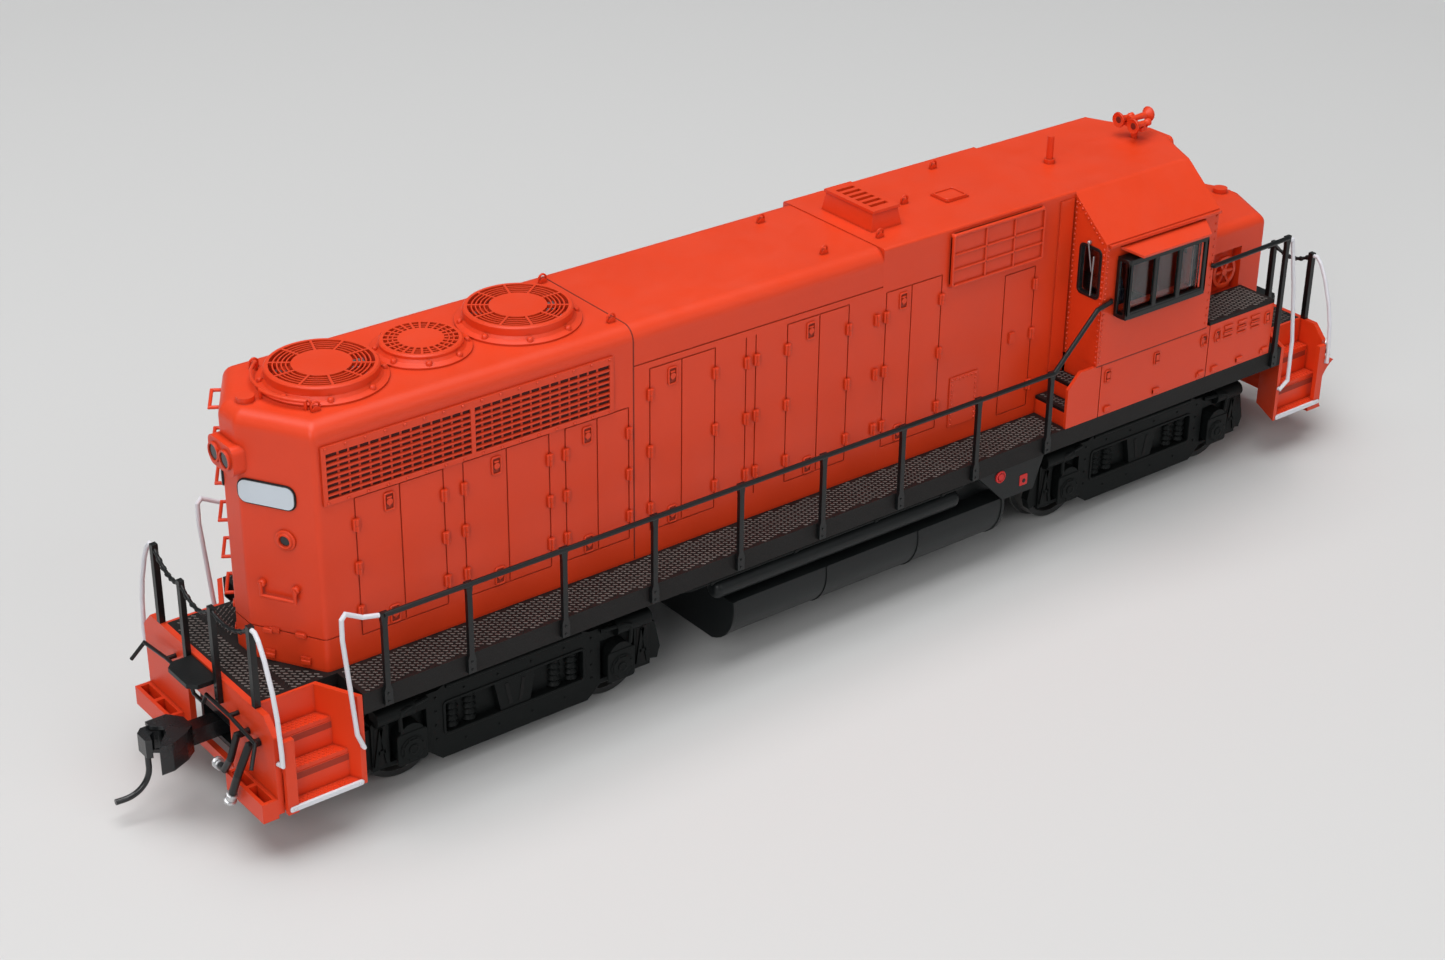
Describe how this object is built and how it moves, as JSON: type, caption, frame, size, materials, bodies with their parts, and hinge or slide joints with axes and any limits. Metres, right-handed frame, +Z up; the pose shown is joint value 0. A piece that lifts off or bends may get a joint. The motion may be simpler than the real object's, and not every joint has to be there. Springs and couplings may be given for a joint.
{
  "type": "model diesel locomotive",
  "caption": "Model road-switcher diesel locomotive with swivelling trucks, turning wheelsets, swinging knuckle couplers, hollow cab and long hood with roof fans.",
  "frame": {"origin": "middle of the length and width, at the bottom of the wheel flanges", "axes": "+X towards the cab and nose end, +Y to the left side, +Z up"},
  "size_m": [0.208, 0.0402, 0.056],
  "materials": {
    "orange_plastic": "satin moulded orange-red",
    "black_plastic": "satin moulded black",
    "walkway_black": "dull black with fine tread",
    "black_rail": "satin black",
    "truck_black": "dull moulded black",
    "wheel_metal": "blackened turned metal",
    "coupler_metal": "satin black casting",
    "white_rail": "white painted wire",
    "window_glass": "clear moulded glazing",
    "lamp_glass": "clear lamp lens",
    "white_board": "plain white board",
    "fan_grey": "grey",
    "hose_silver": "dull silver",
    "weight_metal": "plain cast block"
  },
  "bodies": {
    "body": {"rear_pilot": "orange_plastic", "front_pilot": "orange_plastic", "plow": "orange_plastic", "hood_radiator_end": "orange_plastic", "hood_engine": "orange_plastic", "hood_blower": "orange_plastic", "radiator_louvres": "orange_plastic", "fan_housings": "orange_plastic", "exhaust_box": "orange_plastic", "cab_shell": "orange_plastic", "awnings": "orange_plastic", "nose": "orange_plastic", "brake_wheel": "orange_plastic", "equipment_box_right": "orange_plastic", "equipment_box_left": "orange_plastic", "ladder_irons": "orange_plastic", "rear_lamp_housing": "orange_plastic", "front_lamp_housing": "orange_plastic", "horn": "orange_plastic", "antenna": "orange_plastic", "underframe": "walkway_black", "tread_plates": "walkway_black", "bay_window_right": "black_plastic", "bay_window_left": "black_plastic", "fuel_tank": "black_plastic", "air_reservoirs": "black_plastic", "sill_gussets": "black_plastic", "coupler_boxes": "black_plastic", "drop_steps": "black_plastic", "handrail_right": "black_rail", "handrail_left": "black_rail", "end_posts_front": "black_rail", "end_posts_rear": "black_rail", "cut_levers": "black_rail", "air_hoses": "black_rail", "grab_rails_front": "white_rail", "grab_rails_rear": "white_rail", "cab_glazing": "window_glass", "bay_glazing": "window_glass", "lamp_lenses": "lamp_glass", "number_boards": "white_board", "fan_blades": "fan_grey", "hose_ends": "hose_silver", "inner_weight": "weight_metal"},
    "truck_front": {"truck_frame_front": "truck_black"},
    "truck_rear": {"truck_frame_rear": "truck_black"},
    "wheels_1": {"wheelset_1": "wheel_metal"},
    "wheels_2": {"wheelset_2": "wheel_metal"},
    "wheels_3": {"wheelset_3": "wheel_metal"},
    "wheels_4": {"wheelset_4": "wheel_metal"},
    "coupler_f": {"coupler_front": "coupler_metal"},
    "coupler_r": {"coupler_rear": "coupler_metal"},
    "knuckle_f": {"knuckle_front": "coupler_metal"},
    "knuckle_r": {"knuckle_rear": "coupler_metal"}
  },
  "joints": [
    {"name": "truck_front_swivel", "type": "hinge", "parent": "body", "child": "truck_front", "pos_m": [0.056, 0, 0.0145], "axis": [0, 0, 1], "range_deg": [-10, 10]},
    {"name": "truck_rear_swivel", "type": "hinge", "parent": "body", "child": "truck_rear", "pos_m": [-0.056, 0, 0.0145], "axis": [0, 0, 1], "range_deg": [-10, 10]},
    {"name": "wheels_1_spin", "type": "hinge", "parent": "truck_front", "child": "wheels_1", "pos_m": [0.07175, 0, 0.00643], "axis": [0, 1, 0], "continuous": true},
    {"name": "wheels_2_spin", "type": "hinge", "parent": "truck_front", "child": "wheels_2", "pos_m": [0.04025, 0, 0.00643], "axis": [0, 1, 0], "continuous": true},
    {"name": "wheels_3_spin", "type": "hinge", "parent": "truck_rear", "child": "wheels_3", "pos_m": [-0.04025, 0, 0.00643], "axis": [0, 1, 0], "continuous": true},
    {"name": "wheels_4_spin", "type": "hinge", "parent": "truck_rear", "child": "wheels_4", "pos_m": [-0.07175, 0, 0.00643], "axis": [0, 1, 0], "continuous": true},
    {"name": "coupler_front_swing", "type": "hinge", "parent": "body", "child": "coupler_f", "pos_m": [0.082, 0, 0.01052], "axis": [0, 0, 1], "range_deg": [-10, 10], "stiffness_Nm_per_rad": 0.0004},
    {"name": "knuckle_front_open", "type": "hinge", "parent": "coupler_f", "child": "knuckle_f", "pos_m": [0.0978, -0.002, 0.01052], "axis": [0, 0, -1], "range_deg": [0, 20], "stiffness_Nm_per_rad": 0.0002},
    {"name": "coupler_rear_swing", "type": "hinge", "parent": "body", "child": "coupler_r", "pos_m": [-0.082, 0, 0.01052], "axis": [0, 0, 1], "range_deg": [-10, 10], "stiffness_Nm_per_rad": 0.0004},
    {"name": "knuckle_rear_open", "type": "hinge", "parent": "coupler_r", "child": "knuckle_r", "pos_m": [-0.0978, 0.002, 0.01052], "axis": [0, 0, -1], "range_deg": [0, 20], "stiffness_Nm_per_rad": 0.0002}
  ]
}
